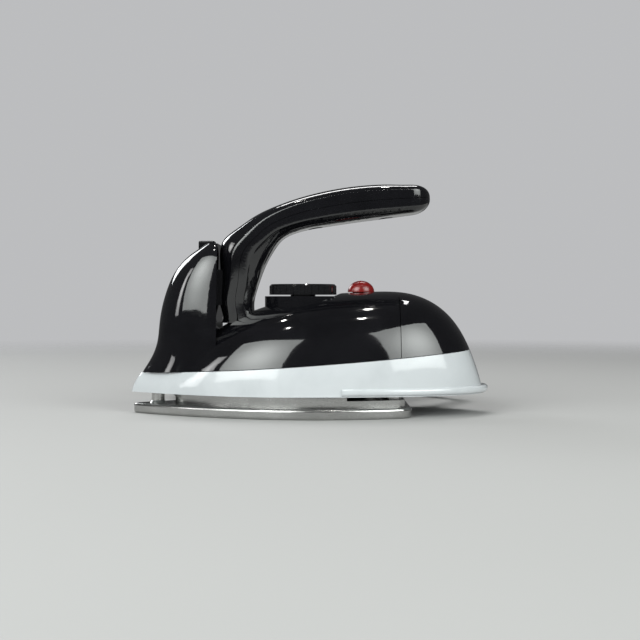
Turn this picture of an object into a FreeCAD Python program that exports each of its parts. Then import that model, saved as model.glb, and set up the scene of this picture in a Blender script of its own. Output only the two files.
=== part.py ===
"""Small electric waxing iron for skis and snowboards, as a parametric FreeCAD document.

Frame: millimetres, +Z up, origin at the middle of the soleplate's working face.
The nose points to -X, the heel to +X.
"""
import FreeCAD
import Part
import math
import os
import Sketcher

Vector = FreeCAD.Vector
doc = FreeCAD.newDocument("waxing_iron")
sub_parts = []             # every sub-part, in the order in which it is made

# ---------------------------------------------------------------- driving dimensions (mm, degrees)
DIMENSIONS = {
    # soleplate and heater
    "sole_nose": -56.0, "sole_tail": 55.0, "sole_half": 33.0, "sole_wide_x": 18.0, "sole_tail_half": 25.0,
    "sole_rim": 4.0, "sole_corner": 7.0, "sole_tip": 2.5, "rim_round": 1.0,
    "island_nose": -38.0, "island_tail": 52.5, "island_half": 27.0, "island_tail_half": 20.0,
    "island_top": 7.9, "island_corner": 4.0, "island_step_x": 30.0, "island_low": 6.6,
    "heater_rad": 2.9, "heater_axis": 4.9, "heater_leg": 14.0, "heater_bend_x": -6.0, "heater_end_x": 40.0,
    "heater_top": 16.0, "heater_bend": 5.0, "pin_rad": 1.1, "pin_top": 20.5, "pin_sunk": 3.9,
    "post_rad": 2.6, "post_flare": 1.2, "post_hole_low": 1.6,
    "nose_post_x": -45.0, "rear_post_x": 48.0, "rear_post_y": 15.0,
    # body
    "body_nose": -55.8, "body_heel": 85.5, "body_half": 31.0, "body_wide_x": 10.0, "body_base": 6.0,
    "body_low": 8.4, "wall": 2.0, "seam": 0.25, "floor_top": 10.4,
    "lip_start_x": 28.0, "lip_raise": 0.2, "lip_high": 3.0, "lip_out": 1.3,
    "window_ahead": 1.0, "window_tail": 44.0, "window_half": 21.0, "window_tail_half": 15.0,
    "shield_over": 2.5, "shield_thick": 0.8,
    "split_nose": 16.0, "split_slope": 0.042, "split_curve": 0.000213, "rear_seam_x": 50.5,
    # cowl and handle
    "cowl_rear": -20.4, "cowl_top": 68.6, "cowl_wall": 2.2, "tab_front": -28.4, "tab_rear": -22.0,
    "tab_wide": 3.2, "handle_wall": 2.4, "grip_seam": 0.14, "grip_boss": 3.6,
    "grip_screw_front": 18.0, "grip_screw_rear": 46.0, "grip_screw_long": 8.0, "grip_screw_deep": 4.4,
    "tenon_long": 4.5, "tenon_half": 6.5, "tenon_low": 43.0, "tenon_top": 57.0, "tenon_wall": 2.0,
    "foot_screw_x": -13.0, "foot_screw_top": 46.0, "foot_screw_long": 13.0,
    # dial and lamp
    "dial_x": 13.0, "dial_rad": 13.4, "dial_low": 47.1, "dial_top": 51.3, "dial_dish": 1.3, "dial_rim": 2.2,
    "dial_notch": 0.9, "dial_hub_rad": 5.0, "dial_hub_low": 45.0, "pad_rad": 15.2, "pad_top": 46.5,
    "grip_bar": 5.0, "index_thick": 0.4, "lamp_x": 36.2,
    "lens_long": 5.3, "lens_wide": 4.3, "lens_high": 4.5, "lens_base": 48.2, "lens_stem": 3.4,
    "lens_stem_low": 44.2, "bulb_rad": 2.4, "bulb_low": 31.5, "bulb_top": 43.6, "sleeve_long": 6.0,
    # thermostat
    "stack_x": 28.0, "washer_rad": 4.4, "rivet_rad": 1.5, "rivet_head": 2.8, "rivet_low": 3.1,
    "rivet_head_high": 1.2, "blade_half": 3.6, "blade_thick": 0.5, "blade_tip_x": 6.0, "tab_end_x": 38.0,
    "tab_half": 3.1, "bimetal_low": 10.0, "bimetal_thick": 0.8, "low_blade_z": 12.8, "top_blade_z": 16.0,
    "contact_x": 8.5, "contact_rad": 1.4, "contact_gap": 0.85, "bead_x": 19.0, "bead_rad": 1.2,
    "bead_top": 15.3, "yoke_low": 19.0, "yoke_thick": 1.6, "yoke_half": 5.5, "nut_rad": 4.0, "nut_high": 3.0,
    "spindle_rad": 2.0, "shaft_rad": 3.0, "shaft_flat": 2.1, "shaft_low": 24.3, "shaft_top": 49.0,
    # terminal block, wires and cord
    "block_x": 66.0, "block_long": 11.0, "block_half": 10.2, "block_low": 10.5, "block_top": 19.5,
    "way_pitch": 6.0, "wire_rad": 0.9, "lead_rad": 0.6, "core_rad": 0.8,
    "fuse_x": 17.0, "fuse_y": 14.0, "fuse_z": 27.0, "fuse_long": 11.0, "fuse_rad": 2.0, "fuse_cover": 0.7,
    "cord_rad": 3.0, "exit_x": 64.5, "exit_y": 24.2, "exit_z": 17.0, "exit_turn": 62.0,
    "boot_rad": 4.6, "boot_long": 15.0, "boot_flange": 5.6,
    "coil_x": 20.0, "coil_y": 84.0, "coil_rad": 38.0, "coil_pitch": 6.4, "coil_turns": 4.38,
    "coil_start": 0.12, "coil_lift": 1.3,
    "plug_x": -36.0, "plug_y": 66.0, "plug_low": 0.3, "plug_half": 12.5, "plug_long": 30.0, "plug_high": 25.0,
    "blade_space": 12.7, "blade_long": 17.0, "prong_thick": 1.5, "prong_wide": 6.35, "prong_low": 5.0,
    "earth_rad": 2.4, "earth_z": 20.0, "prong_root": 5.0,
    "saddle_half": 2.6, "saddle_reach": 8.4, "saddle_screw": 5.9, "saddle_cover": 1.6,
    # fasteners
    "screw_rad": 1.45, "head_rad": 2.7, "head_high": 1.8, "head_round": 0.8, "slot_half": 0.35,
    "body_screw_long": 8.0,
}
AIR = 0.05                 # air left between pieces that sit together
CLEAR = 0.2                # radial room round a screw or wire in the piece it passes through
RUN = 0.05                 # radial running clearance of the dial's shaft and the spindle
FAR = 200.0                # reach of the blocks that cut the body apart


def make_sheet():
    """Puts every driving dimension in a spreadsheet cell that has its name as alias."""
    page = doc.addObject("Spreadsheet::Sheet", "dims")
    for row, (name, value) in enumerate(DIMENSIONS.items(), start=1):
        page.set(f"A{row}", name)
        page.set(f"B{row}", str(value))
        page.setAlias(f"B{row}", name)
    doc.recompute()
    return page


sheet = make_sheet()


def dim(name):
    """A driving dimension's number, read from the sheet."""
    return float(sheet.get(name))


# ---------------------------------------------------------------- tools for parametric bodies
def in_cells(formula):
    """A formula with every driving dimension's name written as its cell's alias in the sheet."""
    words = formula.replace("(", " ( ").replace(")", " ) ").split()
    return " ".join(f"dims.{word}" if word in DIMENSIONS else word for word in words)


def bind(obj, **formulas):
    """Binds properties of obj to formulas of driving dimensions; two underscores stand for a dot."""
    for prop, formula in formulas.items():
        obj.setExpression(prop.replace("__", "."), in_cells(formula))


def origin_part(body, role):
    return next(f for f in body.Origin.OriginFeatures if f.Role == role)


def new_body(label):
    body = doc.addObject("PartDesign::Body", label)
    body.Label = label
    sub_parts.append(body)
    return body


def new_sketch(body, name, role="XY_Plane", offset=None):
    """A sketch on one of the body's own planes, moved along the plane's normal by the formula offset."""
    sketch = body.newObject("Sketcher::SketchObject", name)
    sketch.AttachmentSupport = [(origin_part(body, role), "")]
    sketch.MapMode = "FlatFace"
    if offset is not None:
        sketch.setExpression("AttachmentOffset.Base.z", in_cells(offset))
    return sketch


def hold(sketch, kind, elements, formula):
    """Adds a constraint whose value is a formula."""
    number = sketch.addConstraint(Sketcher.Constraint(kind, *elements, 1.0))
    sketch.setExpression(f"Constraints[{number}]", in_cells(formula))


def add_circle(sketch, x, y, radius):
    """A circle whose centre and radius are formulas."""
    index = sketch.addGeometry(Part.Circle(Vector(1, 1, 0), Vector(0, 0, 1), 1.0))
    hold(sketch, "Radius", (index,), radius)
    hold(sketch, "DistanceX", (-1, 1, index, 3), x)
    hold(sketch, "DistanceY", (-1, 1, index, 3), y)


def add_polygon(sketch, corners):
    """A closed polygon whose corners are pairs of formulas."""
    count = len(corners)
    turns = [2 * math.pi * i / count for i in range(count)]
    spots = [Vector(math.cos(turn), math.sin(turn), 0) for turn in turns]
    first = sketch.GeometryCount
    for i in range(count):
        sketch.addGeometry(Part.LineSegment(spots[i], spots[(i + 1) % count]))
    for i in range(count):
        sketch.addConstraint(Sketcher.Constraint("Coincident", first + i, 2, first + (i + 1) % count, 1))
    for i, (x, y) in enumerate(corners):
        hold(sketch, "DistanceX", (-1, 1, first + i, 1), x)
        hold(sketch, "DistanceY", (-1, 1, first + i, 1), y)


def add_box(sketch, x_low, x_high, y_low, y_high):
    add_polygon(sketch, [(x_low, y_low), (x_high, y_low), (x_high, y_high), (x_low, y_high)])


def pad(body, sketch, length):
    made = body.newObject("PartDesign::Pad", sketch.Name + "_pad")
    made.Profile = sketch
    bind(made, Length=length)
    doc.recompute()
    return made


def pocket(body, sketch, length, upwards=False):
    """A pocket along minus the sketch's normal, or along it with upwards."""
    before = body.Shape.Volume
    made = body.newObject("PartDesign::Pocket", sketch.Name + "_pocket")
    made.Profile = sketch
    made.Reversed = upwards
    bind(made, Length=length)
    doc.recompute()
    if body.Shape.Volume > before - 1e-6:
        raise RuntimeError(f"pocket {made.Name} in {body.Label} cuts nothing")
    return made


def revolve(body, sketch):
    """A full turn of the sketch about the body's Z axis."""
    made = body.newObject("PartDesign::Revolution", sketch.Name + "_turned")
    made.Profile = sketch
    made.ReferenceAxis = (origin_part(body, "Z_Axis"), [""])
    made.Angle = 360.0
    doc.recompute()
    return made


def polar(body, made, count):
    """Copies of a feature round the body's Z axis."""
    pattern = body.newObject("PartDesign::PolarPattern", made.Name + "_ring")
    pattern.Originals = [made]
    pattern.Axis = (origin_part(body, "Z_Axis"), [""])
    pattern.Angle = 360.0
    pattern.Occurrences = count
    body.Tip = pattern
    doc.recompute()
    return pattern


def stand_at(obj, x="0", y="0", z="0"):
    """Binds the object's place to formulas."""
    bind(obj, Placement__Base__x=x, Placement__Base__y=y, Placement__Base__z=z)
    doc.recompute()
    return obj


def disc(label, radius, thick, x="0", y="0", z="0", hole=None):
    """A round body, with a round hole if hole is a formula for its radius."""
    body = new_body(label)
    outline = new_sketch(body, label + "_round")
    add_circle(outline, "0", "0", radius)
    if hole is not None:
        add_circle(outline, "0", "0", hole)
    pad(body, outline, thick)
    return stand_at(body, x, y, z)


# ---------------------------------------------------------------- tools for shapes worked out in code
def feature(label, shape):
    """A sub-part whose shape is worked out here, because no sketch or primitive makes it."""
    made = doc.addObject("Part::Feature", label)
    made.Label = label
    made.Shape = shape
    sub_parts.append(made)
    return made


def cylinder(x, y, low, high, radius):
    return Part.makeCylinder(radius, high - low, Vector(x, y, low))


def block(x_low, x_high, y_half, low, high, y_mid=0.0):
    return Part.makeBox(x_high - x_low, 2 * y_half, high - low, Vector(x_low, y_mid - y_half, low))


def screw(x, y, head_low, length):
    """A pan-head screw that points down, its head standing on head_low."""
    top = head_low + dim("head_high")
    head = cylinder(x, y, head_low, top, dim("head_rad"))
    head = head.makeFillet(dim("head_round"), level_edges(head, top))
    half = dim("slot_half")
    cross = block(x - 1.5, x + 1.5, half, top - 1.0, top, y)
    cross = cross.fuse(block(x - half, x + half, 1.5, top - 1.0, top, y))
    return head.fuse(cylinder(x, y, head_low - length, head_low, dim("screw_rad"))).cut(cross)


def level_edges(shape, level):
    """Edges that lie flat at the given height."""
    return [e for e in shape.Edges if e.BoundBox.ZLength < 0.01 and abs(e.BoundBox.ZMin - level) < 0.01]


def curve_through(points):
    curve = Part.BSplineCurve()
    curve.interpolate(Points=[Vector(*point) for point in points])
    return curve


def tube(points, radius, first=None, last=None):
    """A round bar along a smooth curve through the points, with a straight run from first and one to last."""
    spots = [Vector(*point) for point in points]
    curve = curve_through(points)
    leads = curve.tangent(curve.FirstParameter)[0]
    trails = curve.tangent(curve.LastParameter)[0]
    runs = [], []
    if first is not None:
        runs[0].append(Part.makeLine(Vector(*first), spots[0]))
        leads = (spots[0] - Vector(*first)).normalize()
    if last is not None:
        runs[1].append(Part.makeLine(spots[-1], Vector(*last)))
        trails = (Vector(*last) - spots[-1]).normalize()
    curve.interpolate(Points=spots, InitialTangent=leads, FinalTangent=trails, Scale=False)
    start = spots[0] if first is None else Vector(*first)
    ring = Part.Wire([Part.Circle(start, leads, radius).toShape()])
    return Part.Wire(runs[0] + [curve.toShape()] + runs[1]).makePipeShell([ring], True, True)


def largest(shape):
    return max(shape.Solids, key=lambda solid: solid.Volume)


# ---------------------------------------------------------------- soleplate
def iron_outline(nose, tail, half, tail_half, wide_x, level):
    """The plan of an iron's sole: two bowed sides from a pointed nose to a straight tail."""
    side = []
    for i in range(9):
        x = nose + (tail - nose) * i / 8
        if x < wide_x:
            y = half * (1 - ((wide_x - x) / (wide_x - nose)) ** 1.9)
        else:
            y = half - (half - tail_half) * ((x - wide_x) / (tail - wide_x)) ** 2
        side.append((x, y, level))
    left = curve_through(side).toShape()
    right = curve_through([(x, -y, z) for x, y, z in side]).toShape()
    end = Part.makeLine(Vector(tail, tail_half, level), Vector(tail, -tail_half, level))
    return Part.Face(Part.Wire([left, end, right.reversed()]))


def upright_edges(shape, x_low, x_high):
    """Edges that stand upright between two values of X."""
    return [e for e in shape.Edges if e.BoundBox.ZLength > 1.0 and e.BoundBox.XLength < 0.01
            and x_low < e.BoundBox.XMin < x_high]


def heater_path():
    """The heater's centre line: a U lying in the sole, with both ends turned up at the tail."""
    level = dim("heater_axis")
    leg = dim("heater_leg")
    front = dim("heater_bend_x")
    rear = dim("heater_end_x")
    bend = dim("heater_bend")
    ends = Vector(front, leg, level), Vector(front, -leg, level)
    edges = [Part.Arc(ends[0], Vector(front - leg, 0, level), ends[1]).toShape()]
    slant = bend * math.sin(math.radians(45))
    for y in (leg, -leg):
        edges.append(Part.makeLine(Vector(front, y, level), Vector(rear - bend, y, level)))
        middle = Vector(rear - bend + slant, y, level + bend - slant)
        edges.append(Part.Arc(Vector(rear - bend, y, level), middle, Vector(rear, y, level + bend)).toShape())
        edges.append(Part.makeLine(Vector(rear, y, level + bend), Vector(rear, y, dim("heater_top"))))
    return Part.Wire(Part.__sortEdges__(edges))


def heater_bar(grow):
    """The heater's sheath, grown by the given amount."""
    path = heater_path()
    start = Vector(dim("heater_end_x"), dim("heater_leg"), dim("heater_top"))
    ring = Part.Wire([Part.Circle(start, Vector(0, 0, 1), dim("heater_rad") + grow).toShape()])
    return path.makePipeShell([ring], True, True)


def heater_groove():
    """The room for the heater in the island, open upwards."""
    front, rear = dim("heater_bend_x"), dim("heater_end_x")
    low, high = dim("heater_axis"), dim("island_top") + 4.0
    width = dim("heater_rad") + RUN
    groove = heater_bar(RUN)
    for y in (dim("heater_leg"), -dim("heater_leg")):
        groove = groove.fuse(block(front, rear, width, low, high, y))
    ring = cylinder(front, 0, low, high, dim("heater_leg") + width)
    ring = ring.cut(cylinder(front, 0, 0, FAR, dim("heater_leg") - width))
    return groove.fuse(ring.cut(block(front, FAR, FAR, 0, FAR)))


def make_soleplate():
    """The polished plate with the island that holds the heater and three posts that carry the body."""
    nose, tail = dim("sole_nose"), dim("sole_tail")
    plate = iron_outline(nose, tail, dim("sole_half"), dim("sole_tail_half"), dim("sole_wide_x"), 0.0)
    plate = plate.extrude(Vector(0, 0, dim("sole_rim")))
    plate = plate.makeFillet(dim("sole_corner"), upright_edges(plate, tail - 0.1, tail + 0.1))
    plate = plate.makeFillet(dim("sole_tip"), upright_edges(plate, nose - 0.1, nose + 0.1))
    plate = plate.makeFillet(dim("rim_round"), level_edges(plate, 0.0) + level_edges(plate, dim("sole_rim")))
    island_end, start = dim("island_tail"), dim("sole_rim") / 2
    island = iron_outline(dim("island_nose"), island_end, dim("island_half"), dim("island_tail_half"),
                          dim("sole_wide_x"), start)
    island = island.extrude(Vector(0, 0, dim("island_top") - start))
    corners = upright_edges(island, island_end - 0.1, island_end + 0.1)
    island = island.makeFillet(dim("island_corner"), corners)
    plate = plate.fuse(island.cut(block(dim("island_step_x"), FAR, FAR, dim("island_low"), FAR)))
    root = dim("sole_rim") - 0.5
    for x, y in post_places():
        foot = Part.makeCone(dim("post_rad") + dim("post_flare"), dim("post_rad"), 1.5, Vector(x, y, root))
        post = cylinder(x, y, root, dim("body_low") - AIR, dim("post_rad"))
        plate = plate.fuse(post.fuse(foot))
    for x, y in post_places():
        plate = plate.cut(cylinder(x, y, dim("post_hole_low"), FAR, dim("screw_rad") + RUN))
    plate = plate.cut(heater_groove())
    plate = plate.cut(cylinder(dim("stack_x"), 0, dim("rivet_low") - 0.1, FAR, dim("rivet_rad") + RUN))
    feature("soleplate", largest(plate.removeSplitter()))


def post_places():
    """Where the three posts stand that carry the body."""
    rear = dim("rear_post_x")
    return [(dim("nose_post_x"), 0.0), (rear, dim("rear_post_y")), (rear, -dim("rear_post_y"))]


def make_heater():
    """The sheathed element and the two pins that come out of its ends."""
    sheath = heater_bar(0.0)
    pins = []
    for y in (dim("heater_leg"), -dim("heater_leg")):
        x = dim("heater_end_x")
        low = dim("heater_top") - dim("pin_sunk")
        sheath = sheath.cut(cylinder(x, y, low - 0.1, FAR, dim("pin_rad") + RUN))
        pins.append(cylinder(x, y, low, dim("pin_top"), dim("pin_rad")))
    feature("heating_element", sheath)
    feature("heater_pins", Part.makeCompound(pins))


# ---------------------------------------------------------------- the body's envelope
# side view of the body's crown, nose to heel: (X, Z)
CROWN = [(-51.2, 16.4), (-35.0, 24.5), (-20.0, 34.0), (-6.0, 41.0), (16.0, 46.4), (40.0, 48.3), (58.0, 46.9),
         (71.2, 38.8), (79.4, 25.4), (83.4, 14.0)]


def body_half(x):
    """Half the body's width at its base: an ogive ahead of the widest place, a rounded heel behind it."""
    wide = dim("body_wide_x")
    if x < wide:
        share = (wide - x) / (wide - dim("body_nose"))
        return dim("body_half") * (1 - min(share, 1.0) ** 1.85)
    share = (x - wide) / (dim("body_heel") - wide)
    return dim("body_half") * math.sqrt(max(0.0, 1 - share ** 2.7))


def envelope():
    """The body's outer form: arched sections that stand on the base level, pointed at both ends."""
    base = dim("body_base")
    ends = [(dim("body_nose"), base)], [(dim("body_heel"), base)]
    crown = curve_through([(x, 0, z) for x, z in ends[0] + CROWN + ends[1]])
    count = 26
    sections = [Part.Vertex(dim("body_nose"), 0, base)]
    for i in range(1, count):
        share = 0.5 - 0.5 * math.cos(math.pi * i / count)
        spot = crown.value(crown.FirstParameter + share * (crown.LastParameter - crown.FirstParameter))
        half = body_half(spot.x)
        arch = []
        for k in range(17):
            turn = math.pi * k / 16
            side = half * math.copysign(abs(math.cos(turn)) ** (2 / 2.35), math.cos(turn))
            arch.append((spot.x, side, base + (spot.z - base) * math.sin(turn) ** (2 / 2.35)))
        floor = Part.makeLine(Vector(*arch[-1]), Vector(*arch[0]))
        sections.append(Part.Wire([curve_through(arch).toShape(), floor]))
    sections.append(Part.Vertex(dim("body_heel"), 0, base))
    return Part.makeLoft(sections, True, False)


def inner_envelope(outer):
    """The body's inner form: the outer one shrunk by the wall."""
    wall = dim("wall")
    middle = (dim("body_nose") + dim("body_heel")) / 2
    long = (dim("body_heel") - dim("body_nose")) / 2
    high = max(level for x, level in CROWN) - dim("body_base")
    shrink = FreeCAD.Matrix()
    shrink.move(Vector(-middle, 0, -dim("body_base")))
    shrink.scale(Vector(1 - wall / long, 1 - wall / dim("body_half"), 1 - wall / high))
    shrink.move(Vector(middle, 0, dim("body_base")))
    return outer.transformGeometry(shrink)


def split_height(x):
    """Height of the line between skirt and housing."""
    run = x - dim("body_nose")
    return dim("split_nose") + dim("split_slope") * run + dim("split_curve") * run * run


def below_split(drop):
    """All space below the line between skirt and housing, lowered by drop."""
    stations = [dim("body_nose") - 20 + 24.0 * i for i in range(8)]
    line = curve_through([(x, -FAR, split_height(x) - drop) for x in stations])
    first, last = line.value(line.FirstParameter), line.value(line.LastParameter)
    low_first, low_last = Vector(first.x, -FAR, -50), Vector(last.x, -FAR, -50)
    edges = [line.toShape(), Part.makeLine(last, low_last), Part.makeLine(low_last, low_first),
             Part.makeLine(low_first, first)]
    return Part.Face(Part.Wire(edges)).extrude(Vector(0, 2 * FAR, 0))


# front edge of the cowl in side view, with its half width and its roundness in plan: (X, Z, half, power)
COWL = [(-51.8, 14.0, 18.0, 1.66), (-49.4, 19.0, 17.6, 1.72), (-45.6, 26.8, 17.0, 1.9),
        (-44.2, 36.4, 16.4, 2.1), (-41.8, 47.4, 15.4, 2.2), (-37.8, 56.4, 14.0, 2.2),
        (-31.8, 63.0, 11.8, 2.2), (-26.0, 67.2, 8.6, 2.1)]


def cowl_column(grow):
    """The cowl's outer form grown on all sides by the given amount, which is negative for its hollow."""
    rear = dim("cowl_rear") + grow
    sections = []
    for front, level, half, power in COWL:
        rim = []
        for k in range(13):
            turn = math.pi * k / 12
            back = rear - (dim("cowl_rear") - front + 2 * grow) * math.sin(turn) ** (2 / power)
            side = (half + grow) * math.copysign(abs(math.cos(turn)) ** (2 / power), math.cos(turn))
            rim.append((back, side, level + grow * max(0.0, level - 30.0) / 22.0))
        close = Part.makeLine(Vector(*rim[-1]), Vector(*rim[0]))
        sections.append(Part.Wire([curve_through(rim).toShape(), close]))
    return Part.makeLoft(sections, True, False)


def exit_heading():
    """The direction in which the cord leaves the skirt."""
    turn = math.radians(dim("exit_turn"))
    return Vector(math.cos(turn), math.sin(turn), 0)


def exit_spot(out):
    """A place on the cord's axis, the given distance outside the skirt's wall."""
    return Vector(dim("exit_x"), dim("exit_y"), dim("exit_z")) + exit_heading() * out


def exit_cylinder(start, end, radius):
    """A cylinder on the cord's axis between two distances from the skirt's wall."""
    return Part.makeCylinder(radius, end - start, exit_spot(start), exit_heading())


def heel_lip():
    """A rounded bead round the skirt's heel, standing further out towards the back."""
    start, heel = dim("lip_start_x"), dim("body_heel")
    low = dim("body_low") + dim("lip_raise")
    side = []
    for k in range(15):
        x = start + (heel - start) * math.sin(math.pi / 2 * k / 14)
        side.append((x, body_half(x), low))
    points = side + [(x, -y, z) for x, y, z in reversed(side[:-1])]
    close = Part.makeLine(Vector(*points[-1]), Vector(*points[0]))
    plate = Part.Face(Part.Wire([curve_through(points).toShape(), close]))
    plate = plate.extrude(Vector(0, 0, dim("lip_high")))
    grow = 1 + dim("lip_out") / (heel - start)
    wider = FreeCAD.Matrix()
    wider.move(Vector(-start, 0, 0))
    wider.scale(Vector(grow, grow, 1))
    wider.move(Vector(start, 0, 0))
    plate = plate.transformGeometry(wider)
    rims = level_edges(plate, low) + level_edges(plate, low + dim("lip_high"))
    return plate.makeFillet(dim("lip_high") * 0.42, [e for e in rims if e.BoundBox.XLength > 1.0])


def make_skirt(outer, inner):
    """The pale lower casing, with a floor that is open over the hot island."""
    low_space = below_split(dim("seam") / 2).cut(block(-FAR, FAR, FAR, -60, dim("body_low")))
    shell = outer.common(low_space).fuse(heel_lip())
    shell = shell.cut(inner.common(low_space.cut(block(-FAR, FAR, FAR, -60, dim("floor_top")))))
    window = iron_outline(dim("island_nose") + dim("window_ahead"), dim("window_tail"), dim("window_half"),
                          dim("window_tail_half"), dim("sole_wide_x"), 0.0)
    through = dim("floor_top") + 3.6
    shell = shell.cut(window.extrude(Vector(0, 0, through)))
    for y in (dim("heater_leg"), -dim("heater_leg")):
        shell = shell.cut(cylinder(dim("heater_end_x"), y, 0, through, dim("heater_rad") + 1.0))
    for x, y in post_places():
        shell = shell.cut(cylinder(x, y, 0, through, dim("screw_rad") + CLEAR))
    shell = shell.cut(exit_cylinder(-6.0, 10.0, dim("boot_rad") + RUN))
    feature("skirt", largest(shell))


def make_housing(outer, inner):
    """The dark upper casing: a front housing with the dial's seat, and a rear cover."""
    low_space = below_split(-dim("seam") / 2)
    cavity = inner.cut(low_space)
    shell = outer.cut(low_space).cut(cavity)
    shell = shell.cut(cowl_column(AIR)).cut(block(-FAR, dim("cowl_rear") - 17.1, FAR, -50, FAR))
    shell = shell.cut(block(-60.0, dim("cowl_rear"), 6.0, 0, 60))
    seam = dim("rear_seam_x")
    rear = shell.cut(block(-FAR, seam + dim("seam"), FAR, -50, FAR))
    front = shell.cut(block(seam, FAR, FAR, -50, FAR))
    x, top, wide = dim("dial_x"), dim("pad_top"), dim("pad_rad")
    seat = cylinder(x, 0, top - 12.5, top, wide)
    seat = seat.cut(cylinder(x, 0, 0, top - dim("wall"), wide - dim("wall")))
    front = front.cut(cylinder(x, 0, top, FAR, wide))
    front = front.fuse(seat.cut(cavity)).fuse(cylinder(x, 0, top - 3.0, top, wide))
    front = front.cut(cylinder(x, 0, 30, FAR, dim("dial_hub_rad") + 0.6))
    front = front.cut(cylinder(dim("lamp_x"), 0, 30, FAR, dim("lens_stem") + 0.1))
    front = front.cut(cylinder(dim("lamp_x"), 0, dim("lens_base") - AIR, FAR, dim("lens_long") + 0.1))
    front = front.cut(cylinder(dim("foot_screw_x"), 0, 20, FAR, dim("screw_rad") + CLEAR))
    feature("front_housing", largest(front))
    feature("rear_cover", largest(rear))


def make_cowl():
    """The tall nose piece that carries the handle, open below and at the back, with a small tab on top."""
    solid = cowl_column(0.0).cut(below_split(-dim("seam") / 2))
    hollow = cowl_column(-dim("cowl_wall"))
    mouth = block(-34.0, dim("cowl_rear") + 0.4, dim("tenon_half") + AIR, dim("tenon_low") - AIR,
                  dim("tenon_top") + AIR)
    top = dim("cowl_top")
    tab = block(dim("tab_front"), dim("tab_rear"), dim("tab_wide"), top - 4.6, top)
    tab = tab.makeFillet(0.8, level_edges(tab, top))
    shell = solid.fuse(tab).cut(hollow).cut(mouth)
    feature("nose_cowl", largest(shell))


# ---------------------------------------------------------------- handle
# the handle's sections from its foot to its free end: a point on its outer line, the point facing it on its
# inner line, and its half width there: (outer X, outer Z, inner X, inner Z, half width)
HANDLE = [(-20.1, 36.0, -6.6, 36.0, 9.0), (-20.1, 48.0, -5.9, 47.0, 9.6), (-20.0, 58.0, -3.9, 53.4, 10.2),
          (-19.4, 67.4, -1.7, 59.0, 10.6), (-14.2, 72.7, 1.2, 64.2, 10.9), (-7.4, 77.6, 4.0, 68.2, 11.1),
          (0.4, 81.6, 8.0, 70.9, 11.3), (18.0, 87.4, 20.6, 74.0, 11.5), (37.6, 90.6, 38.4, 76.6, 11.3),
          (54.0, 90.9, 54.4, 78.7, 10.2)]
HANDLE_END = (63.6, 85.5)


def handle_middle():
    """The line midway between the handle's outer and inner lines."""
    middles = [((ox + ix) / 2, 0, (oz + iz) / 2) for ox, oz, ix, iz, half in HANDLE]
    return middles + [(HANDLE_END[0], 0, HANDLE_END[1])]


def half_ring(spot, reach, half):
    """Half of a rounded section, from one side (+half in Y) over the point at reach to the other side."""
    points = []
    for k in range(9):
        turn = math.pi * k / 8
        side = half * math.copysign(abs(math.cos(turn)) ** 0.9, math.cos(turn))
        points.append(spot + reach * math.sin(turn) ** 0.9 + Vector(0, side, 0))
    curve = Part.BSplineCurve()
    curve.interpolate(Points=points, InitialTangent=reach, FinalTangent=reach * -1)
    return curve.toShape()


def handle_rings():
    """The handle's sections, evenly spaced up to its rounded end.

    Each is a middle point and a vector: X and Z reach from there to the outer line, Y is the half width."""
    middles = [Vector(*point) for point in handle_middle()[:-1]]
    reaches = [Vector((ox - ix) / 2, half, (oz - iz) / 2) for ox, oz, ix, iz, half in HANDLE]
    marks = [0.0]
    for before, after in zip(middles, middles[1:]):
        marks.append(marks[-1] + (after - before).Length)
    middle_line, reach_line = Part.BSplineCurve(), Part.BSplineCurve()
    middle_line.interpolate(Points=middles, Parameters=marks)
    reach_line.interpolate(Points=reaches, Parameters=marks)
    rings = []
    for k in range(15):
        mark = marks[-1] * k / 14
        rings.append((middle_line.value(mark), reach_line.value(mark)))
    last_spot, last_reach = rings[-1]
    end = Vector(HANDLE_END[0], 0, HANDLE_END[1])
    for share in (0.45, 0.75, 0.92, 0.993):
        rings.append((last_spot + (end - last_spot) * share, last_reach * (1 - share ** 2.3) ** (1 / 2.3)))
    return rings


def handle_half(side, shrink, beyond):
    """Half of the handle's form, on its outer side (1) or inner side (-1), shrunk by a wall.

    With beyond, it starts below the foot, ends short of the tip and reaches past the seam."""
    rings = handle_rings()
    if beyond:
        foot, foot_reach = rings[0]
        rings = [ring for ring in rings if Vector(ring[1].x, 0, ring[1].z).Length > shrink + 1.6]
        rings = [(foot - Vector(0, 0, 3.0), foot_reach)] + rings
    sections = []
    for spot, both in rings:
        reach = Vector(both.x, 0, both.z) * side
        outwards = reach / reach.Length
        middle = spot + outwards * (dim("grip_seam") / 2 - beyond)
        wide = both.y - shrink
        arch = half_ring(middle, reach - outwards * (shrink - beyond), wide)
        seam = Part.makeLine(middle - Vector(0, wide, 0), middle + Vector(0, wide, 0))
        sections.append(Part.Wire([arch, seam]))
    return Part.makeLoft(sections, True, False)


def height_on_middle(x):
    """Height of the grip's middle line above the given X."""
    line = curve_through(handle_middle())
    low, high = line.parameter(Vector(0, 0, 80)), line.LastParameter
    for step in range(40):
        half_way = (low + high) / 2
        if line.value(half_way).x < x:
            low = half_way
        else:
            high = half_way
    return line.value(low).z


def handle_shell(side):
    """One hollow half of the handle, with bosses left standing for its screws."""
    hollow = handle_half(side, dim("handle_wall"), 1.0)
    for x in (dim("grip_screw_front"), dim("grip_screw_rear")):
        hollow = hollow.cut(cylinder(x, 0, 60, FAR, dim("grip_boss")))
    hollow = hollow.cut(cylinder(dim("foot_screw_x"), 0, 30, dim("foot_screw_top") + 2.0, dim("grip_boss")))
    return handle_half(side, 0.0, 0.0).cut(hollow)


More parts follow.
